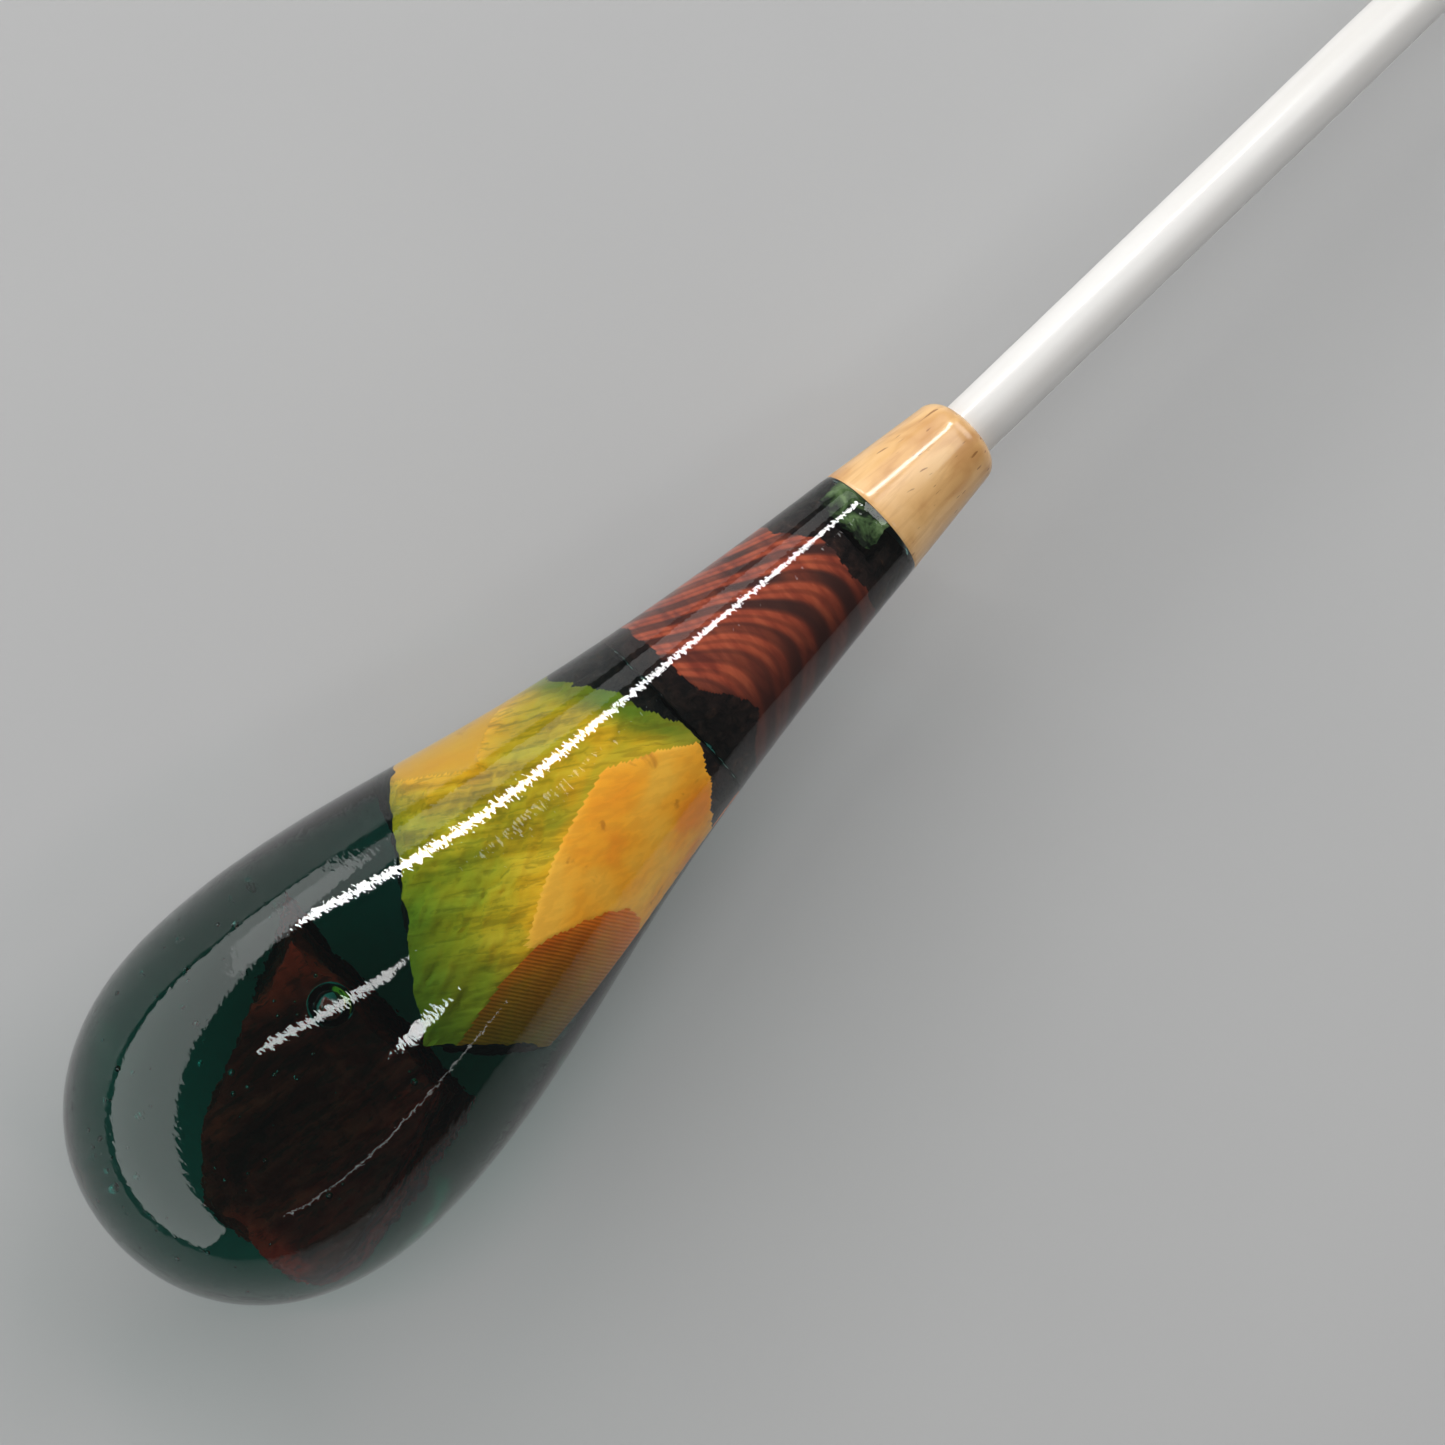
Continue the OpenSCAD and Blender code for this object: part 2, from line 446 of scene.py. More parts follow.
def burl_live_material():
    """The burl's live edge: soft golden fibres, which the resin over them turns yellow and green."""
    p = Paint("golden_burl")
    fibre = p.noise(p.place((0.1, 0.7, 0.7), (0, 0, 32)), 4.0, 0.55, 0.7)
    cloud = p.noise(p.place((0.16, 0.2, 0.2)), 3.0, 0.5, 0.5)
    fine = p.noise(p.place((0.35, 2.6, 2.6), (0, 0, 32)), 3.0, 0.5, 0.4)
    golds = [(0.3, (0.42, 0.19, 0.006)), (0.48, (0.78, 0.37, 0.012)), (0.7, (0.92, 0.5, 0.03))]
    base = p.ramp(fibre, golds)
    spot = p.spot()
    slant = p.math("ADD", spot.outputs["X"], p.math("MULTIPLY", spot.outputs["Y"], FRONT_SLANT))
    front = BURL_FRONT + BUTT
    fringe = p.fade(slant, front - 2.4, front - 0.6, 0.0, 0.7)
    mottled = p.blend(p.fade(cloud, 0.46, 0.66, 0.0, 0.5), base, (0.34, 0.34, 0.02))
    back = BURL_SPAN[0] + BUTT
    shade = p.fade(spot.outputs["X"], back, back + 9, 0.7, 0.0)
    shaded = p.blend(shade, mottled, (0.1, 0.11, 0.012))
    greened = p.blend(fringe, shaded, (0.07, 0.17, 0.015))
    lined = p.blend(p.fade(fine, 0.34, 0.5, 0.4, 0.0), greened, (0.22, 0.12, 0.006))
    return p.surface(
        Base_Color=lined,
        Roughness=p.fade(fibre, 0.3, 0.7, 0.7, 0.5),
        Specular_IOR_Level=0.05,
        Normal=p.bump(fine, 0.06),
    )


def burl_sawn_material():
    """The burl's sawn side: redder wood, crossed by the fine marks of the saw, darker at the back."""
    p = Paint("sawn_burl_side")
    marks = p.node(
        "TexWave",
        {"wave_type": "BANDS", "bands_direction": "X"},
        Vector=p.place(turn=(0, 0, -35)),
        Scale=1.3,
        Distortion=1.5,
        Detail=2.0,
        Detail_Scale=0.6,
    ).outputs["Fac"]
    cloud = p.noise(p.place((0.12, 0.25, 0.25)), 3.0, 0.5, 0.5)
    browns = [(0.34, (0.85, 0.14, 0.004)), (0.5, (1.0, 0.2, 0.006)), (0.68, (1.0, 0.28, 0.01))]
    base = p.ramp(cloud, browns)
    back = BURL_SPAN[0] + BUTT
    shade = p.fade(p.spot().outputs["X"], back, back + 11, 0.5, 0.0)
    shaded = p.blend(shade, base, (0.3, 0.07, 0.006))
    sawn = p.blend(p.fade(marks, 0.2, 0.7, 0.1, 0.0), shaded, (0.3, 0.1, 0.006))
    return p.surface(
        Base_Color=sawn,
        Roughness=p.fade(marks, 0.0, 1.0, 0.75, 0.55),
        Specular_IOR_Level=0.1,
        Normal=p.bump(marks, 0.03),
    )


def dark_burl_material():
    """Dark red-brown wood with rough fibres and redder clouds, nearly black far from the axis."""
    p = Paint("dark_red_burl")
    fibre = p.noise(p.place((0.18, 0.6, 0.6), (0, 0, 8)), 4.0, 0.55, 0.5)
    cloud = p.noise(p.place((0.15, 0.15, 0.2)), 3.0, 0.5, 0.5)
    pores = p.noise(p.place((0.6, 2.2, 2.2), (0, 0, 8)), 3.0)
    reds = [(0.34, (0.05, 0.002, 0.001)), (0.52, (0.2, 0.006, 0.003)), (0.7, (0.42, 0.016, 0.007))]
    base = p.ramp(fibre, reds)
    red = p.blend(p.fade(cloud, 0.5, 0.66, 0.0, 0.7), base, (0.9, 0.024, 0.01))
    spot = p.spot()
    squares = [p.math("MULTIPLY", spot.outputs[axis], spot.outputs[axis]) for axis in ("Y", "Z")]
    from_axis = p.math("SQRT", p.math("ADD", *squares))
    rind = p.blend(p.fade(from_axis, 8.0, 11.5, 0.0, 0.93), red, (0.045, 0.008, 0.005))
    pored = p.blend(p.fade(pores, 0.36, 0.5, 0.6, 0.0), rind, (0.03, 0.004, 0.002))
    return p.surface(
        Base_Color=pored,
        Roughness=p.fade(fibre, 0.3, 0.7, 0.8, 0.6),
        Specular_IOR_Level=0.1,
        Normal=p.bump(pores, 0.08),
    )


# The rosewood's growth rings: where they reach furthest towards the tip, and how strongly they curve
RING_MIDDLE_Y = -2.0
RING_CURL = 0.16


def ring_share(p, spacing):
    """Growth rings across the axis that bulge towards the tip, as a wave from 0 to 1."""
    spot = p.spot()
    off = p.math("SUBTRACT", spot.outputs["Y"], RING_MIDDLE_Y)
    bulge = p.math("MULTIPLY", p.math("MULTIPLY", off, off), RING_CURL)
    wander = p.math("MULTIPLY", p.noise(p.place((0.1, 0.1, 0.1)), 1.0, 0.3), 4.0)
    depth = p.math("ADD", p.math("ADD", spot.outputs["X"], bulge), wander)
    turns = p.math("MULTIPLY", depth, 2 * math.pi / spacing)
    return p.math("MULTIPLY", p.math("ADD", p.math("SINE", turns), 1.0), 0.5)


def rosewood_material():
    """Red-brown rosewood with near-black growth rings, darker on its -Y side."""
    p = Paint("rosewood")
    rings = ring_share(p, 2.3)
    weight = p.noise(p.place((0.2, 0.1, 0.1)), 1.0)
    fibre = p.noise(p.place((1.6, 0.35, 0.35)), 4.0, 0.5, 0.3)
    browns = [(0.32, (0.18, 0.027, 0.013)), (0.5, (0.3, 0.052, 0.022)), (0.7, (0.42, 0.085, 0.034))]
    base = p.ramp(fibre, browns)
    fine_rings = ring_share(p, 0.77)
    dark_line = p.math("MULTIPLY", p.fade(rings, 0.3, 0.95), p.fade(weight, 0.35, 0.6, 0.5, 0.95))
    lined = p.blend(p.fade(fine_rings, 0.3, 1.0, 0.0, 0.4), base, (0.06, 0.014, 0.008))
    near_side = p.spot().outputs["Y"]
    shaded = p.blend(p.fade(near_side, -4.2, -0.4, 0.9, 0.0), lined, (0.04, 0.009, 0.006))
    ringed = p.blend(dark_line, shaded, (0.025, 0.008, 0.006))
    return p.surface(
        Base_Color=ringed,
        Roughness=p.fade(fibre, 0.3, 0.7, 0.5, 0.38),
        Specular_IOR_Level=0.1,
        Normal=p.bump(fibre, 0.03),
    )


def bark_material(name):
    """Near-black bark, with a few brown scales."""
    p = Paint(name)
    scales = p.noise(p.place((1.1, 1.1, 1.1)), 5.0, 0.65, 0.6)
    blacks = [(0.4, (0.006, 0.004, 0.004)), (0.6, (0.022, 0.011, 0.009)), (0.8, (0.07, 0.028, 0.016))]
    base = p.ramp(scales, blacks)
    return p.surface(Base_Color=base, Roughness=0.8, Specular_IOR_Level=0.08, Normal=p.bump(scales, 0.3))


def moss_material():
    """Moss-green burl chip."""
    p = Paint("mossy_burl")
    tufts = p.noise(p.place((0.9, 0.6, 0.9)), 5.0, 0.6, 0.6)
    base = p.ramp(tufts, [(0.42, (0.006, 0.01, 0.005)), (0.54, (0.05, 0.09, 0.03)), (0.7, (0.16, 0.24, 0.1))])
    return p.surface(Base_Color=base, Roughness=0.7, Specular_IOR_Level=0.1, Normal=p.bump(tufts, 0.2))


def maple_material():
    """Gloss-lacquered light wood, with fine grain along the axis and a few short brown flecks."""
    p = Paint("light_wood")
    grain = p.noise(p.place((0.1, 1.5, 1.5)), 4.0, 0.55, 0.5)
    cloud = p.noise(p.place((0.2, 0.35, 0.35)), 3.0, 0.5, 0.6)
    flecks = p.noise(p.place((0.75, 3.2, 3.2), (0, 0, 6)), 1.0, 0.4)
    base = p.ramp(cloud, [(0.34, (0.6, 0.31, 0.105)), (0.5, (0.75, 0.44, 0.17)), (0.68, (0.82, 0.52, 0.23))])
    lined = p.blend(p.fade(grain, 0.38, 0.56, 0.3, 0.0), base, (0.5, 0.22, 0.06))
    flecked = p.blend(p.fade(flecks, 0.7, 0.77, 0.0, 0.8), lined, (0.27, 0.1, 0.022))
    return p.surface(
        Base_Color=flecked,
        Roughness=p.fade(grain, 0.3, 0.7, 0.42, 0.34),
        Coat_Weight=0.7,
        Coat_Roughness=0.1,
        Normal=p.bump(grain, 0.015),
    )


def lacquer_material():
    """White lacquer over a hardwood rod, a little uneven where it ran along the grain."""
    p = Paint("white_lacquer")
    runs = p.noise(p.place((0.03, 0.5, 0.5)), 3.0, 0.5)
    spots = p.noise(p.place((0.6, 0.9, 0.9)), 2.0)
    base = p.ramp(runs, [(0.3, (0.7, 0.68, 0.65)), (0.6, (0.76, 0.745, 0.72))])
    return p.surface(
        Base_Color=base,
        Roughness=p.fade(spots, 0.3, 0.7, 0.3, 0.4),
        Coat_Weight=0.35,
        Coat_Roughness=0.15,
        Normal=p.bump(runs, 0.02),
    )


def glue_material():
    """Cured epoxy, tinted dark, with the cloud of fine bubbles that stirring leaves."""
    p = Paint("dark_epoxy")
    bubbles = p.noise(p.place((2.0, 2.0, 2.0)), 3.0)
    base = p.ramp(bubbles, [(0.4, (0.006, 0.008, 0.006)), (0.7, (0.03, 0.035, 0.028))])
    return p.surface(Base_Color=base, Roughness=p.fade(bubbles, 0.4, 0.6, 0.3, 0.5))


def floor_material():
    """Plain pale floor."""
    p = Paint("pale_floor")
    cloud = p.noise(p.place((0.01, 0.01, 0.01)), 3.0)
    base = p.ramp(cloud, [(0.3, (0.42, 0.42, 0.42)), (0.7, (0.45, 0.45, 0.447))])
    return p.surface(Base_Color=base, Roughness=0.75)


# ---------------------------------------------------------------- the resin and what is cast in it

# The shell's faces around it and along it, and how far its front end reaches into the ferrule
SHELL_AROUND = 144
SHELL_STEP = 0.5
BUTT_RINGS = 40
TUCK = 0.05

# The air bubbles: how many, the one large bubble's centre and radius, where the small ones may be
# along the grip and across it, their smallest radius and how much larger they get, how far they
# keep from the surface, and from wood
BUBBLE_COUNT = 150
BIG_BUBBLE = (Vector((21.2, 1.2, 11.1)), 1.4)
BUBBLE_SPAN = (2.5, 26)
BUBBLE_SPREAD = (-13, 13)
BUBBLE_SIZE = (0.08, 0.16)
BUBBLE_SKIN = 0.5
WOOD_GAP = 1.0
BURL_GAP = 1.5


def shell_outline():
    """The grip's outline, closed at the butt, and tucked just inside the ferrule at the neck."""
    outline = []
    for i in range(BUTT_RINGS + 1):
        a = math.pi / 2 * i / BUTT_RINGS
        outline.append((
            BULB_AT - BULB_AT * math.cos(a) ** (2 / BUTT_POWER),
            BULB_R * math.sin(a) ** (2 / BUTT_POWER),
        ))
    steps = round((GRIP_END - BULB_AT) / SHELL_STEP)
    for i in range(1, steps + 1):
        x = BULB_AT + (GRIP_END - BULB_AT) * i / steps
        outline.append((x, grip_r(x)))
    return outline + [(GRIP_END + TUCK, NECK_R - TUCK), (GRIP_END + TUCK, 0)]


def in_wood(spot):
    """True if a point is in or close to the dark block, or as far forward as the burl."""
    band = -spot.x * math.sin(DARK_TILT) + spot.y * math.cos(DARK_TILT)
    in_dark = (
        DARK_SPAN[0] - WOOD_GAP < spot.x < DARK_SPAN[1] + WOOD_GAP
        and band < DARK_BAND[1] + WOOD_GAP
        and DARK_Z[0] - WOOD_GAP < spot.z < DARK_Z[1] + WOOD_GAP
    )
    return in_dark or spot.x > BURL_SPAN[0] - BURL_GAP


def bubbles():
    """Centres and radii of the air bubbles in the bulb, with the one large bubble first."""
    chance = random.Random(27)
    found = [BIG_BUBBLE]
    room = (BUBBLE_SPAN, BUBBLE_SPREAD, BUBBLE_SPREAD)
    while len(found) < BUBBLE_COUNT:
        spot = Vector([chance.uniform(*limits) for limits in room])
        size = BUBBLE_SIZE[0] + BUBBLE_SIZE[1] * chance.random() ** 3
        if math.hypot(spot.y, spot.z) > grip_r(spot.x) - BUBBLE_SKIN or in_wood(spot):
            continue
        if (spot - BIG_BUBBLE[0]).length > BIG_BUBBLE[1] + BUBBLE_SKIN:
            found.append((spot, size))
    return found


def add_bubbles(shell):
    """Cuts the bubbles into the casting, as closed hollows whose faces look inwards."""
    form = bmesh.new()
    form.from_mesh(shell.data)
    for spot, size in bubbles():
        place = Matrix.Translation(in_frame(spot))
        detail = 4 if size > 1 else 2
        made = bmesh.ops.create_icosphere(form, subdivisions=detail, radius=size * MM, matrix=place)
        ball = {face for vert in made["verts"] for face in vert.link_faces}
        bmesh.ops.reverse_faces(form, faces=list(ball))
        for face in ball:
            face.smooth = True
    form.to_mesh(shell.data)
    form.free()


def resin_piece():
    """The clear casting, as a shell with its bubbles."""
    shell = turned("resin_shell", shell_outline(), SHELL_AROUND, [resin_material()], crease=40)
    add_bubbles(shell)
    return shell


# Where the live edge dips under the turned surface: its lower and upper limits around the axis, in
# degrees from the top towards +Y, and its depth, each at a distance from the butt
LIVE_LOW = [
    (23, -80), (27, -62), (30, -42), (32.7, -23), (37, -11), (43.2, 1), (46.5, -11), (48.8, -24), (50, -36),
]
LIVE_HIGH = [(23, 140), (27, 120), (31, 90), (33.6, 58), (37.4, 40), (40, 62), (42, 80), (45, 120)]
LIVE_DEPTH = [(24, 4.6), (27, 3.6), (31, 2.2), (35, 1.5), (40, 1.2), (45, 1.3), (49, 2.0)]

# The film of resin over the turned faces of the burl
BURL_COVER = 0.15


def live_dip(x, angle):
    """Depth of the live edge under the turned surface, 0 outside it."""
    low, high = along(LIVE_LOW, x), along(LIVE_HIGH, x)
    across = (2 * angle - low - high) / (high - low)
    return along(LIVE_DEPTH, x) * max(0.0, 1 - across * across)


def burl_front(y):
    """Where the burl's wood ends and its dark bark starts: it slants back on both sides of a corner."""
    far_side = FRONT_SLANT * max(y, -1.0) + 0.05 * max(0.0, y - 3) ** 2
    near_side = 0.7 * min(0.0, y + 3)
    return BURL_FRONT - far_side + near_side


def burl_reach(x, dy, dz):
    """The burl's side: the lowest of its turned, live and sawn faces, with bark in front of it."""
    axis = (0.0, 0.0)
    smooth_r = grip_reach(x, axis, dy, dz, BURL_COVER)
    angle = math.degrees(math.atan2(dy, dz))
    dip = live_dip(x, angle)
    spot = (x, smooth_r * dy, smooth_r * dz)
    along_fibre = (x * 0.35, smooth_r * dy * 1.3 - x * 0.5, smooth_r * dz)
    ridges = rough(along_fibre, 1.6, 4) * 0.3 + rough(spot, 5, 2) * 0.35
    live_r = smooth_r - dip + ridges * min(1.0, dip / 0.8)
    facet = plane_reach(BURL_FACET, x, axis, dy, dz) + 0.05 * rough(spot, 1.0, 2)
    under = plane_reach(BURL_UNDER, x, axis, dy, dz)
    corner = plane_reach(BURL_CORNER, x, axis, dy, dz)
    sawn = min(facet, under, corner)
    r, zone = min((smooth_r, TURNED_ZONE), (live_r, LIVE_ZONE), (sawn, SAWN_ZONE))
    if zone == LIVE_ZONE and dip < 1e-6:
        zone = TURNED_ZONE
    past = x - burl_front(r * dy) - 0.4 * rough((x * 0.3, r * dy, r * dz), 2.2, 3)
    if past > 0 and zone != SAWN_ZONE:
        return min(r, smooth_r - 0.3 * min(1.0, past * 2)), END_ZONE
    return min(r, smooth_r), zone


def burl_ends(y, z):
    """The burl's broken back end, blunt and pointed, and its rough front end."""
    off = y - BURL_POINT_Y
    slope = BURL_BACK_SLOPES[1] if off > 0 else BURL_BACK_SLOPES[0]
    back = BURL_SPAN[0] - BURL_BACK_PAST + slope * off + 0.45 * rough((0, y, z), 3.2, 4)
    return back, max(burl_front(y), BURL_SPAN[1] - 0.1) + 0.2 * rough((9, y, z), 2.2, 4)


def burl_piece():
    """The orange and green burl, with black bark at its front."""
    bark = bark_material("burl_bark")
    materials = [burl_turned_material(), burl_live_material(), burl_sawn_material(), bark]
    return carved("green_gold_burl", (0, 0), burl_reach, burl_ends, 130, 300, 26, materials, crease=50)


def dark_reach(x, dy, dz):
    """The dark block's lumpy sides, which draw in towards its back end."""
    start = DARK_LINE
    band_normal = Vector((-math.sin(DARK_TILT), math.cos(DARK_TILT), 0))
    faces = [
        (Vector((0, 0, DARK_Z[1])), Vector((0, 0, 1))),
        (Vector((0, 0, DARK_Z[0])), UNDERSIDE),
        (band_normal * DARK_BAND[1], band_normal),
        (band_normal * DARK_BAND[0], -band_normal),
        DARK_CORNER,
    ]
    reaches = [plane_reach(face, x, start, dy, dz) for face in faces]
    r = min([grip_reach(x, start, dy, dz, 0.5), *reaches])
    near_back = smooth(DARK_SPAN[0] - 0.5, DARK_SPAN[0] + 4, x)
    r *= 0.62 + 0.38 * math.sqrt(near_back)
    spot = (x, start[0] + r * dy, start[1] + r * dz)
    lumps = 0.45 * rough(spot, 3.5, 5) + 0.16 * rough((x * 0.5, spot[1] * 1.5, spot[2] * 1.5), 1.1, 3)
    return max(0.5, min(r - 0.3 + lumps, grip_reach(x, start, dy, dz, 0.3))), SAWN_ZONE


def dark_ends(y, z):
    """The dark block's two broken ends."""
    lumps = 0.5 * rough((3, y, z), 3.0, 4)
    return DARK_SPAN[0] + 0.4 + lumps, DARK_SPAN[1] - 0.4 + lumps + 0.2 * rough((5, y, z), 1.3, 3)


def dark_piece():
    """The dark red-brown block in the bulb, the same wood on all its faces."""
    dark = dark_burl_material()
    return carved("dark_burl", DARK_LINE, dark_reach, dark_ends, 100, 240, 30, [dark] * 4, crease=60)


# The film of resin over the turned rosewood
ROSEWOOD_COVER = 0.08


def rosewood_front(dy):
    """Where the rosewood ends and its bark starts, a little further back on the +Y side."""
    return ROSEWOOD_SPAN[1] - 1.6 * smooth(0.2, 0.9, dy)


def rosewood_back(dy):
    """Where the rosewood starts: it leans towards the tip on the -Y side."""
    return ROSEWOOD_SPAN[0] + 0.4 + 2.2 * smooth(0.1, -0.5, dy) * smooth(-1.0, -0.6, dy)


def rosewood_reach(x, dy, dz):
    """The rosewood's turned side, with bark that falls away at both ends and passes under the chip."""
    side = grip_r(x) - ROSEWOOD_COVER
    wander = 0.35 * rough((dy * 4, dz * 4, 0), 1.5, 3)
    past = max(x - rosewood_front(dy) - wander, rosewood_back(dy) - x + wander)
    under = plane_reach(ROSEWOOD_UNDER, x, (0, 0), dy, dz)
    if past > 0:
        bark = side - BARK_FALL * past + 0.16 * min(1, past) * rough((x, dy * 4, dz * 4), 1.2, 4)
        towards_chip = math.sin(CHIP_TURN) * dy + math.cos(CHIP_TURN) * dz
        if x > GRIP_END - CHIP_SIZE[0] - 0.6 and towards_chip > 0.7:
            bark = min(bark, NECK_R - CHIP_SIZE[2] - 0.15)
        return min(bark, side, under), LIVE_ZONE
    return (side, TURNED_ZONE) if side < under else (under, SAWN_ZONE)


def rosewood_ends(y, z):
    """The back end follows the burl's front, and the front end is the bark's."""
    back = burl_ends(y, z)[1] + 0.25
    return back, ROSEWOOD_SPAN[1] + BARK_LEN + 0.5 + 0.15 * rough((2, y, z), 1.2, 3)


def rosewood_piece():
    """The ringed rosewood at the neck, between two bands of black bark."""
    wood, bark = rosewood_material(), bark_material("rosewood_bark")
    materials = [wood, bark, wood, bark]
    return carved("rosewood", (0, 0), rosewood_reach, rosewood_ends, 150, 240, 16, materials, crease=50)


def chip_piece():
    """The mossy chip lies under the surface at the neck, next to the ferrule."""
    length, width, depth = CHIP_SIZE
    middle = NECK_R - depth / 2
    line = (middle * math.sin(CHIP_TURN), middle * math.cos(CHIP_TURN))
    up = Vector((0, math.sin(CHIP_TURN), math.cos(CHIP_TURN)))
    side = Vector((0, math.cos(CHIP_TURN), -math.sin(CHIP_TURN)))

    def reach(x, dy, dz):
        way = Vector((0, dy, dz))
        flat = depth / 2 / max(1e-3, -way.dot(up)) if way.dot(up) < 0 else FAR
        wide = width / 2 / max(1e-3, abs(way.dot(side)))
        r = min(flat, wide, grip_reach(x, line, dy, dz, 0.1))
        ragged = 0.3 * rough((x, dy * 3, dz * 3), 1.3, 4) * smooth(0.2, 1.4, r)
        return max(0.05, min(r + ragged, grip_reach(x, line, dy, dz, 0.1))), LIVE_ZONE

    def ends(y, z):
        return GRIP_END - length + 0.35 * rough((4, y, z), 1.2, 4), GRIP_END - 0.06

    moss = moss_material()
    return carved("mossy_chip", line, reach, ends, 24, 120, 8, [moss] * 4, crease=60)


# ---------------------------------------------------------------- ferrule and shaft

# The ferrule's front radius, the rounding of its front edge, its bore and the bevel of its back edge
FERRULE_FRONT_R = 3.35
FERRULE_EDGE = 1.3
BORE_R = 1.9
BACK_EDGE = 0.06

# The shaft's tenon, the length of its parallel root, and its tip
TENON_R = 1.75
ROOT_LEN = 40.0
TIP_R = 1.1


def ferrule_piece():
    """A short taper with a rounded front edge and the bore that the tenon is glued into."""
    outline = [(GRIP_END, BORE_R), (GRIP_END, NECK_R - BACK_EDGE), (GRIP_END + BACK_EDGE, NECK_R - 0.01)]
    length = FERRULE_END - GRIP_END
    for i in range(1, 25):
        x = (length - FERRULE_EDGE) * i / 24
        outline.append((GRIP_END + x, NECK_R + (FERRULE_FRONT_R - NECK_R) * x / (length - FERRULE_EDGE)))
    for i in range(1, 17):
        a = math.pi / 2 * i / 16
        outline.append((
            FERRULE_END - FERRULE_EDGE * (1 - math.sin(a)),
            FERRULE_FRONT_R - FERRULE_EDGE * (1 - math.cos(a)),
        ))
    outline += [(FERRULE_END, BORE_R), (GRIP_END, BORE_R)]
    return turned("light_wood_ferrule", outline, 112, [maple_material()], crease=50)


def shaft_piece():
    """The tenon, the parallel root and the long taper to the rounded tip."""
    outline = [(SHAFT_BACK, 0), (SHAFT_BACK, TENON_R - 0.4), (SHAFT_BACK + 0.4, TENON_R)]
    outline += [(FERRULE_END, TENON_R), (FERRULE_END, ROOT_R - 0.05), (FERRULE_END + 0.05, ROOT_R)]
    taper_from, taper_to = FERRULE_END + ROOT_LEN, TIP - TIP_R
    for i in range(1, 41):
        outline.append((FERRULE_END + ROOT_LEN * i / 40, ROOT_R))
    for i in range(1, 121):
        x = taper_from + (taper_to - taper_from) * i / 120
        outline.append((x, ROOT_R + (TIP_R - ROOT_R) * i / 120))
    for i in range(1, 13):
        a = math.pi / 2 * i / 12
        outline.append((taper_to + TIP_R * math.sin(a), TIP_R * math.cos(a) if i < 12 else 0))
    return turned("white_shaft", outline, 64, [lacquer_material()], crease=40)


# ---------------------------------------------------------------- floor, lights and camera

# The camera's place in millimetres from the butt, the directions it looks in and has on its right,
# its field of view, its sensor in millimetres and the nearest distance it shows in metres
CAMERA_AT = Vector((37.86, -4.15, 133.7))
CAMERA_LOOK = Vector((0.10156, 0.01017, -0.99478))
CAMERA_RIGHT = Vector((0.71567, -0.69531, 0.06596))
CAMERA_FIELD = math.radians(40)
SENSOR = 36.0
CLIP_START = 0.005

# The floor's side in metres, and its gap under the bulb in millimetres
FLOOR_SIZE = 6.0
FLOOR_GAP = 0.02


def add_camera():
    """The camera stands over the handle and looks almost straight down."""
    data = bpy.data.cameras.new("camera")
    data.lens = SENSOR / 2 / math.tan(CAMERA_FIELD / 2)
    data.sensor_width = SENSOR
    data.clip_start = CLIP_START
    camera = bpy.data.objects.new("camera", data)
    look = CAMERA_LOOK.normalized()
    right = (CAMERA_RIGHT - look * CAMERA_RIGHT.dot(look)).normalized()
    turn = Matrix((right, right.cross(look), -look)).transposed().to_4x4()
    camera.matrix_world = Matrix.Translation(in_frame(CAMERA_AT)) @ turn
    bpy.context.scene.collection.objects.link(camera)
    bpy.context.scene.camera = camera


def add_floor():
    """The baton lies on its bulb and its tip, so the floor rises a little towards the tip."""
    slope = (BULB_R - TIP_R) / (TIP - TIP_R - BULB_AT)
    lowest = min(-grip_r(i / 4) - slope * i / 4 for i in range(20, 120))
    mesh = bpy.data.meshes.new("floor")
    half = FLOOR_SIZE / 2
    corners = [(-half, -half, 0), (half, -half, 0), (half, half, 0), (-half, half, 0)]
    mesh.from_pydata(corners, [], [(0, 1, 2, 3)])
    mesh.materials.append(floor_material())
    floor = bpy.data.objects.new("floor", mesh)
    floor.location = in_frame((0, 0, lowest - FLOOR_GAP))
    floor.rotation_euler = (0, -math.atan(slope), 0)
    bpy.context.scene.collection.objects.link(floor)


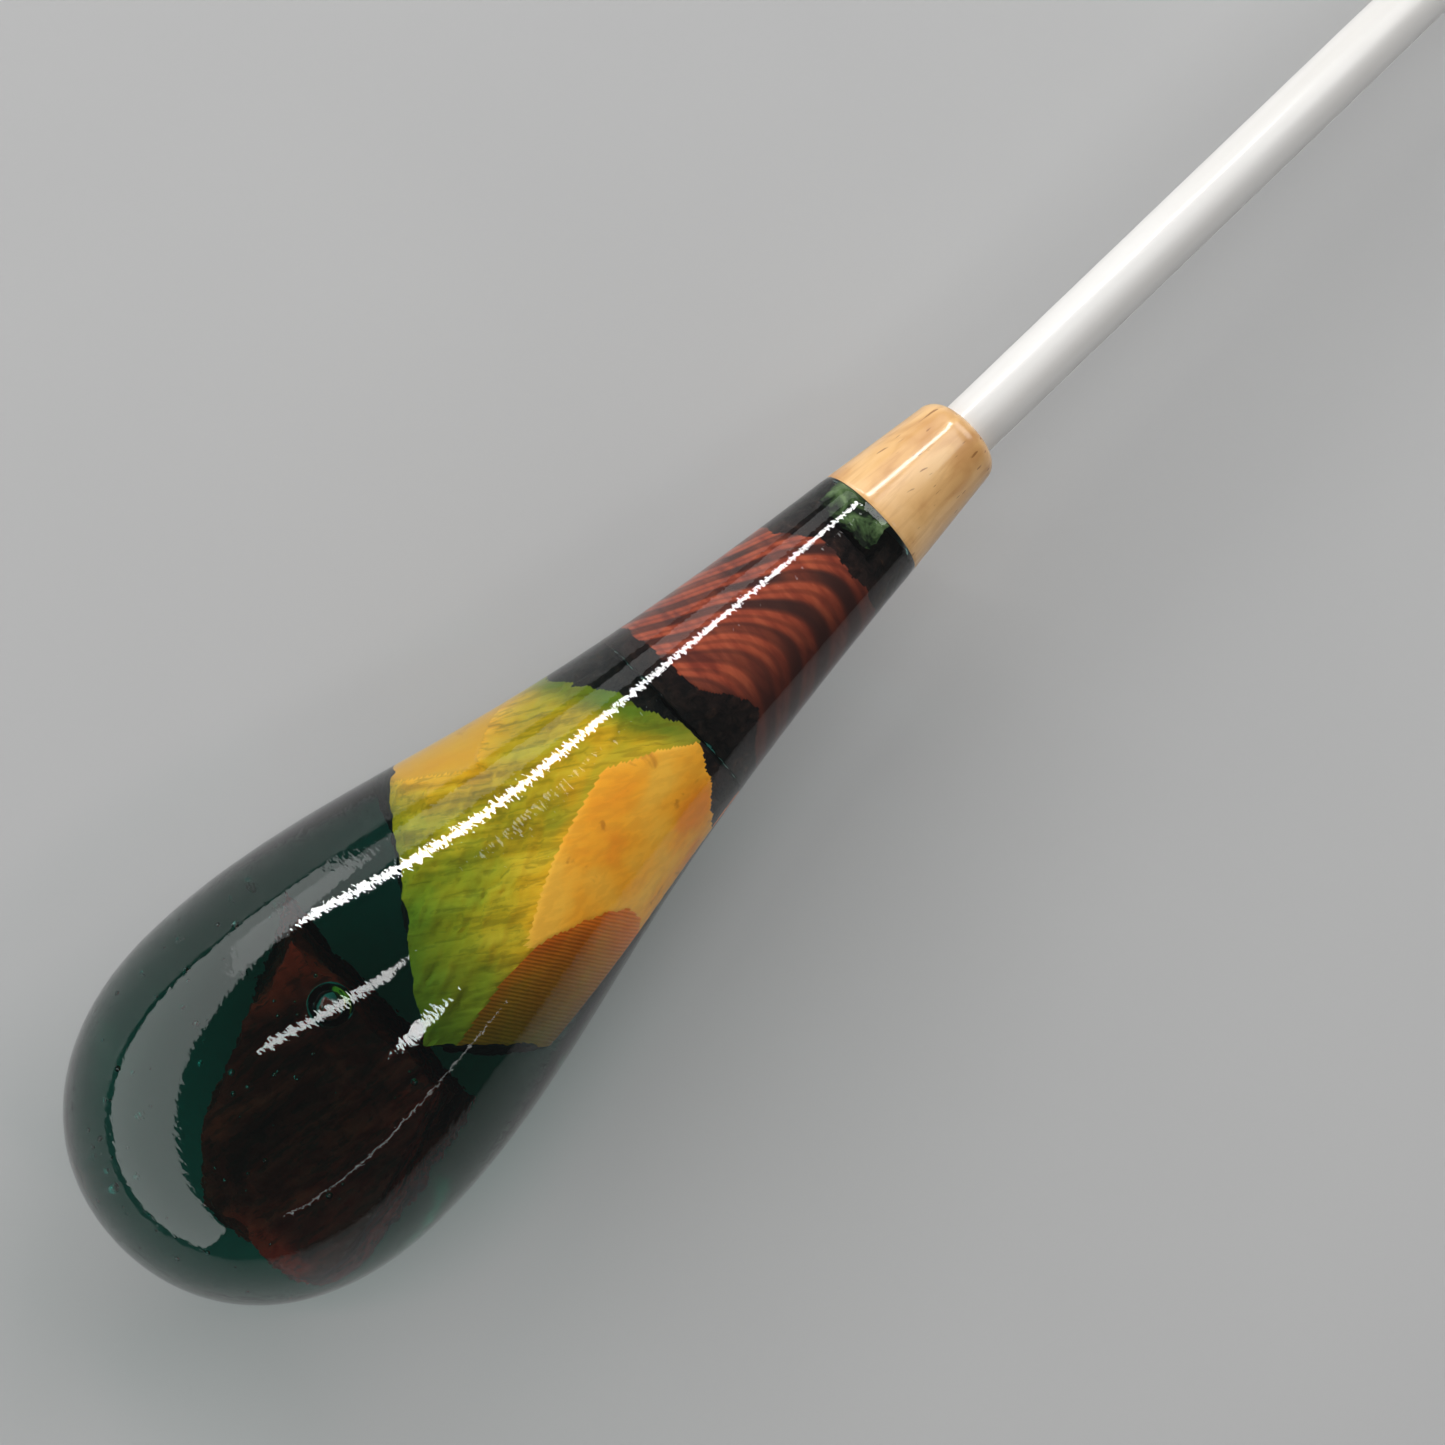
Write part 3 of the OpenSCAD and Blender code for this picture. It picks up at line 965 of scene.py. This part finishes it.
def softbox(name, centre, width, height, radiance, along_x=None):
    """A rectangular light that faces the handle. Its radiance is what a mirror would show of it.

    along_x is the direction of its width, which is level if none is given.
    """
    data = bpy.data.lights.new(name, "AREA")
    data.shape = "RECTANGLE"
    data.size = width * MM
    data.size_y = height * MM
    data.energy = radiance * math.pi * data.size * data.size_y
    light = bpy.data.objects.new(name, data)
    away = (Vector(centre) - Vector((FLANK_AT, 0, 0))).normalized()
    across = Vector(along_x) if along_x else Vector((0, 0, 1)).cross(away)
    across = (across - away * across.dot(away)).normalized()
    turn = Matrix((across, away.cross(across), away)).transposed().to_4x4()
    light.matrix_world = Matrix.Translation(in_frame(centre)) @ turn
    bpy.context.scene.collection.objects.link(light)


def around(azimuth, elevation, distance):
    """A point at a distance from the handle, by its compass angle from +X and its height angle."""
    a, e = math.radians(azimuth), math.radians(elevation)
    return (
        FLANK_AT + distance * math.cos(e) * math.cos(a),
        distance * math.cos(e) * math.sin(a),
        distance * math.sin(e),
    )


def add_lights():
    """Soft studio lights, each placed for one highlight on the polished handle, and a dim sky."""
    # The wide veil on the bulb's butt side
    softbox("side_window", around(141, 22, 900), 3600, 640, 1.9)
    # The long line down the handle, with the glow around it
    softbox("strip", (284, 483, 410), 480, 42, 26.0, (0.653, -0.592, 0.473))
    softbox("strip_glow", around(68, 20, 720), 640, 240, 1.0)
    # The short bar and the short line in the middle of the bulb
    softbox("bar", around(-69, 56, 700), 70, 95, 14.0)
    softbox("overhead_strip", (110, 180, 855), 490, 50, 10.0, (0.77, -0.63, 0.08))
    # The main light on the wood, the shaft and the floor
    softbox("key", around(5, 42, 1100), 800, 700, 3.6)
    # The thin line low on the bulb
    softbox("far_lamp", around(-100, 27, 900), 850, 14, 3.0)
    world = bpy.data.worlds.new("studio")
    world.use_nodes = True
    background = world.node_tree.nodes["Background"]
    background.inputs["Color"].default_value = (0.95, 0.97, 1.0, 1)
    background.inputs["Strength"].default_value = 0.1
    bpy.context.scene.world = world


# ---------------------------------------------------------------- the whole baton

def hand_over(piece, node):
    """The piece stands for its CAD node, on the one rigid body."""
    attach(piece, "root")
    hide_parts(node)


def dress_glue():
    """The glue keeps its CAD shape and gets its material."""
    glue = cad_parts["shaft_glue"]
    glue.data.materials.clear()
    glue.data.materials.append(glue_material())


add_camera()
add_floor()
add_lights()
hand_over(resin_piece(), "resin_casting")
hand_over(burl_piece(), "green_burl_block")
hand_over(dark_piece(), "dark_burl_block")
hand_over(rosewood_piece(), "rosewood_block")
hand_over(chip_piece(), "neck_chip")
hand_over(ferrule_piece(), "ferrule")
hand_over(shaft_piece(), "shaft")
dress_glue()
bpy.context.scene.view_settings.view_transform = "Standard"
